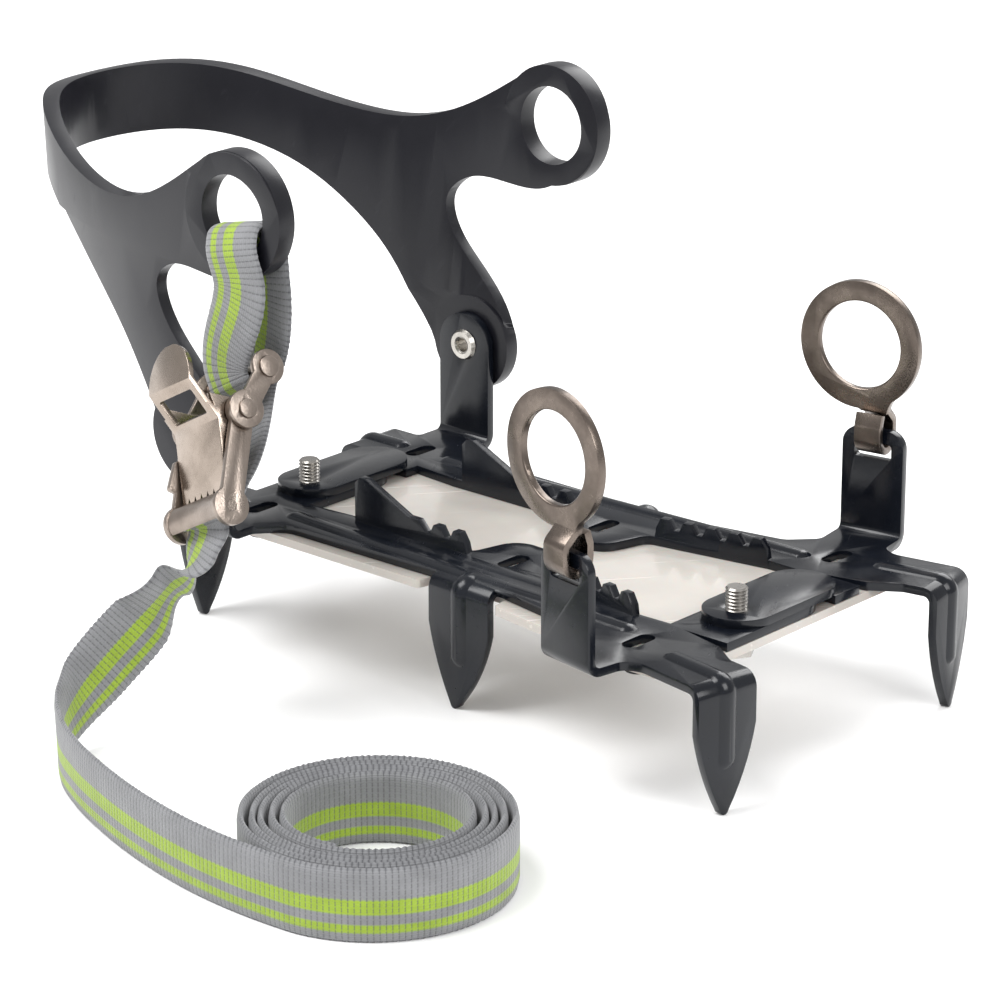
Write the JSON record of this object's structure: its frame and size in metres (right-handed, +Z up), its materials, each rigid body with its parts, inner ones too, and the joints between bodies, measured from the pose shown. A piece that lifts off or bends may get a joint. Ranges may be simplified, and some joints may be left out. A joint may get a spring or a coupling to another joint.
{
  "type": "crampon",
  "caption": "Steel boot crampon with folded spikes, wrap-round heel piece, ring links and a toothed clamp buckle on a long striped webbing strap wound into a roll.",
  "frame": {"origin": "on the ground, midway between the two side rails and in line with their middle slots", "axes": "+X towards the toe, +Y to the left of someone wearing it, +Z up"},
  "size_m": [0.2338, 0.2013, 0.1247],
  "materials": {
    "rail_steel": "gloss",
    "plate_plastic": "satin",
    "plug_rubber": "matte",
    "bolt_steel": "satin",
    "heel_plastic": "satin",
    "rivet_steel": "satin",
    "ring_steel": "satin",
    "buckle_nickel": "polished",
    "webbing": "woven"
  },
  "bodies": {
    "frame": {"left_rail": "rail_steel", "right_rail": "rail_steel", "anti_balling_plate": "plate_plastic", "plate_plugs": "plug_rubber", "clamp_bolts": "bolt_steel", "bolt_washers": "bolt_steel", "pivot_rivets": "rivet_steel", "pivot_washers": "plug_rubber", "strap_tail": "webbing", "strap_roll": "webbing"},
    "heel": {"heel_piece": "heel_plastic", "strap_loop": "webbing", "strap_pin": "buckle_nickel", "buckle_links": "buckle_nickel", "lever_axle": "buckle_nickel", "lever_spring": "rivet_steel", "buckle_frame": "buckle_nickel", "roller_pin": "buckle_nickel"},
    "lever": {"buckle_lever": "buckle_nickel"},
    "left_link": {"left_ring": "ring_steel"},
    "right_link": {"right_ring": "ring_steel"}
  },
  "joints": [
    {"name": "heel_pivot", "type": "hinge", "parent": "frame", "child": "heel", "pos_m": [-0.0682, 0, 0.0534], "axis": [0, 1, 0], "range_deg": [-55, 70], "deforming": ["strap_tail"]},
    {"name": "buckle_release", "type": "hinge", "parent": "heel", "child": "lever", "pos_m": [-0.0449, -0.06347, 0.06545], "axis": [-0.8768, 0.13, -0.4629], "range_deg": [0, 18], "stiffness_Nm_per_rad": 0.2},
    {"name": "left_ring_hinge", "type": "hinge", "parent": "frame", "child": "left_link", "pos_m": [0.0484, 0.0534, 0.0538], "axis": [0.9869, 0.1616, 0], "range_deg": [-80, 80]},
    {"name": "right_ring_hinge", "type": "hinge", "parent": "frame", "child": "right_link", "pos_m": [0.0484, -0.0534, 0.0538], "axis": [0.9869, -0.1616, 0], "range_deg": [-80, 80]}
  ]
}
